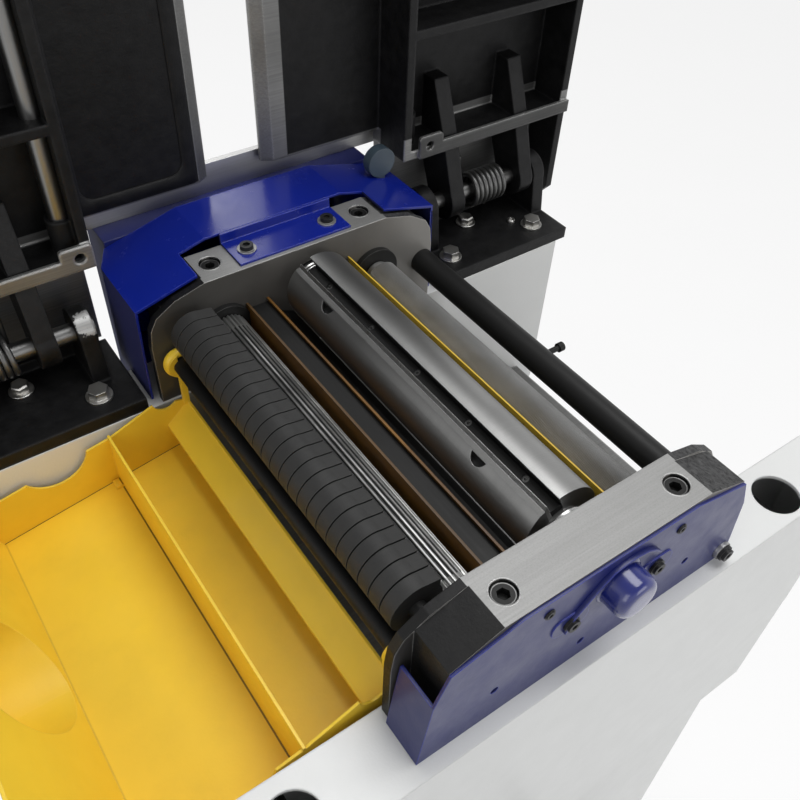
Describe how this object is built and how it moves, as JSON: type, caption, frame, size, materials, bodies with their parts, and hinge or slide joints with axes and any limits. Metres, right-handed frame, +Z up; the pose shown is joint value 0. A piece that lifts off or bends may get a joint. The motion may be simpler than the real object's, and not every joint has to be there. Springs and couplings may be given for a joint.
{
  "type": "planer thicknesser",
  "caption": "Floor-standing planer thicknesser with both tables tipped up, the dust hood laid open, and cutterblock, feed rollers and kickback fingers in view.",
  "frame": {"origin": "centre of the four floor bolt holes, on the floor below the middle of the machine", "axes": "+X along the thicknessing feed, +Y towards the table hinges at the back, +Z up"},
  "size_m": [0.769, 0.6053, 1.285],
  "materials": {
    "white_paint": "semi-gloss",
    "blue_paint": "gloss",
    "deep_blue_paint": "gloss",
    "yellow_paint": "satin",
    "machined_iron": "ground",
    "black_cast": "painted",
    "black_steel": "satin",
    "bright_steel": "ground",
    "dark_steel": "oxide",
    "zinc": "plated",
    "rubber": "matt",
    "motor_paint": "satin",
    "black_plastic": "matt",
    "green_plastic": "gloss",
    "red_plastic": "gloss",
    "buffer_plastic": "translucent",
    "aluminium": "cast"
  },
  "bodies": {
    "frame": {"base_cabinet": "white_paint", "access_panel": "white_paint", "front_wall": "white_paint", "rear_wall": "white_paint", "front_bracket": "machined_iron", "rear_bracket": "machined_iron", "front_cover": "blue_paint", "bearing_cap": "blue_paint", "drive_cover": "blue_paint", "cover_strip": "blue_paint", "belt_guard": "deep_blue_paint", "outfeed_hinge_base": "black_cast", "infeed_hinge_base": "black_cast", "hinge_pins": "bright_steel", "outfeed_spring": "dark_steel", "infeed_spring": "dark_steel", "hood_rod": "black_steel", "tie_rod": "black_steel", "finger_rod": "bright_steel", "roller_collars": "black_steel", "cutter_bearings": "bright_steel", "chip_plates": "yellow_paint", "pressure_bar": "black_steel", "pressure_screws": "dark_steel", "cover_screws": "dark_steel", "hinge_bolts": "zinc", "motor": "motor_paint", "drive_belt": "rubber", "feed_gearbox": "machined_iron", "feed_chains": "dark_steel", "column_guide": "machined_iron", "lift_gearbox": "black_cast", "switch_box": "black_plastic", "cable_inlet": "black_plastic", "fence_rail": "aluminium", "catch_pins": "dark_steel", "table_buffer": "buffer_plastic"},
    "cutterblock": {"cutter_drum": "bright_steel", "wedge_bars": "dark_steel", "knives": "bright_steel", "wedge_screws": "dark_steel", "cutter_pulley": "aluminium"},
    "motor_rotor": {"motor_pulley": "machined_iron"},
    "infeed_roller": {"infeed_roller": "bright_steel"},
    "outfeed_roller": {"outfeed_roller": "bright_steel"},
    "feed_driver": {"feed_sprocket": "dark_steel"},
    "fingers": {"kickback_fingers": "dark_steel"},
    "hood": {"dust_hood": "yellow_paint"},
    "outfeed_table": {"outfeed_table": "black_cast"},
    "infeed_table": {"infeed_table": "black_cast"},
    "outfeed_lock": {"outfeed_lock": "bright_steel"},
    "infeed_lock": {"infeed_lock": "bright_steel"},
    "bed": {"thickness_bed": "machined_iron", "lift_column": "bright_steel"},
    "leadscrew": {"leadscrew": "bright_steel"},
    "handwheel": {"handwheel": "black_plastic"},
    "grip": {"handwheel_grip": "black_plastic"},
    "start_button": {"start_button": "green_plastic"},
    "stop_button": {"stop_button": "red_plastic"}
  },
  "joints": [
    {"name": "cutter_spin", "type": "hinge", "parent": "frame", "child": "cutterblock", "pos_m": [0.009, 0, 0.839], "axis": [0, 1, 0], "continuous": true},
    {"name": "motor_spin", "type": "hinge", "parent": "frame", "child": "motor_rotor", "pos_m": [0.009, 0, 0.12], "axis": [0, 1, 0], "continuous": true},
    {"name": "infeed_roller_spin", "type": "hinge", "parent": "frame", "child": "infeed_roller", "pos_m": [-0.073, 0, 0.8205], "axis": [0, 1, 0], "continuous": true},
    {"name": "outfeed_roller_spin", "type": "hinge", "parent": "frame", "child": "outfeed_roller", "pos_m": [0.073, 0, 0.8205], "axis": [0, 1, 0], "continuous": true},
    {"name": "feed_driver_spin", "type": "hinge", "parent": "frame", "child": "feed_driver", "pos_m": [0, 0, 0.79], "axis": [0, 1, 0], "continuous": true},
    {"name": "finger_swing", "type": "hinge", "parent": "frame", "child": "fingers", "pos_m": [-0.105, 0, 0.839], "axis": [0, -1, 0], "range_deg": [0, 18]},
    {"name": "hood_swing", "type": "hinge", "parent": "frame", "child": "hood", "pos_m": [-0.119, 0, 0.808], "axis": [0, -1, 0], "range_deg": [-170, 0]},
    {"name": "outfeed_table_tilt", "type": "hinge", "parent": "frame", "child": "outfeed_table", "pos_m": [-0.248, 0.225, 0.818], "axis": [1, 0, 0], "range_deg": [0, 90]},
    {"name": "infeed_table_tilt", "type": "hinge", "parent": "frame", "child": "infeed_table", "pos_m": [0.248, 0.225, 0.818], "axis": [1, 0, 0], "range_deg": [0, 90]},
    {"name": "outfeed_lock_turn", "type": "hinge", "parent": "outfeed_table", "child": "outfeed_lock", "pos_m": [-0.161, 0.2452, 1.2], "axis": [0, 0, 1], "range_deg": [-90, 0]},
    {"name": "infeed_lock_turn", "type": "hinge", "parent": "infeed_table", "child": "infeed_lock", "pos_m": [0.161, 0.2452, 1.2], "axis": [0, 0, 1], "range_deg": [0, 90]},
    {"name": "handwheel_spin", "type": "hinge", "parent": "frame", "child": "handwheel", "pos_m": [0, -0.246, 0.275], "axis": [0, 1, 0], "range_deg": [0, 7655]},
    {"name": "bed_lift", "type": "slide", "parent": "frame", "child": "bed", "axis": [0, 0, 1], "range_m": [0, 0.085]},
    {"name": "leadscrew_spin", "type": "hinge", "parent": "frame", "child": "leadscrew", "pos_m": [0, 0, 0.4], "axis": [0, 0, 1], "range_deg": [0, 7655]},
    {"name": "grip_spin", "type": "hinge", "parent": "handwheel", "child": "grip", "pos_m": [0.073, -0.28, 0.275], "axis": [0, 1, 0], "continuous": true},
    {"name": "start_press", "type": "slide", "parent": "frame", "child": "start_button", "axis": [0, 1, 0], "range_m": [0, 0.003], "stiffness_N_per_m": 400},
    {"name": "stop_press", "type": "slide", "parent": "frame", "child": "stop_button", "axis": [0, 1, 0], "range_m": [0, 0.003], "stiffness_N_per_m": 400}
  ],
  "couplings": [
    {"joint": "motor_spin", "follows": "cutter_spin", "ratio": 0.48889},
    {"joint": "feed_driver_spin", "follows": "cutter_spin", "ratio": -0.014286},
    {"joint": "infeed_roller_spin", "follows": "cutter_spin", "ratio": -0.0125},
    {"joint": "outfeed_roller_spin", "follows": "cutter_spin", "ratio": -0.0125},
    {"joint": "handwheel_spin", "follows": "bed_lift", "rad_per_m": 1570.8},
    {"joint": "leadscrew_spin", "follows": "bed_lift", "rad_per_m": 1570.8}
  ]
}
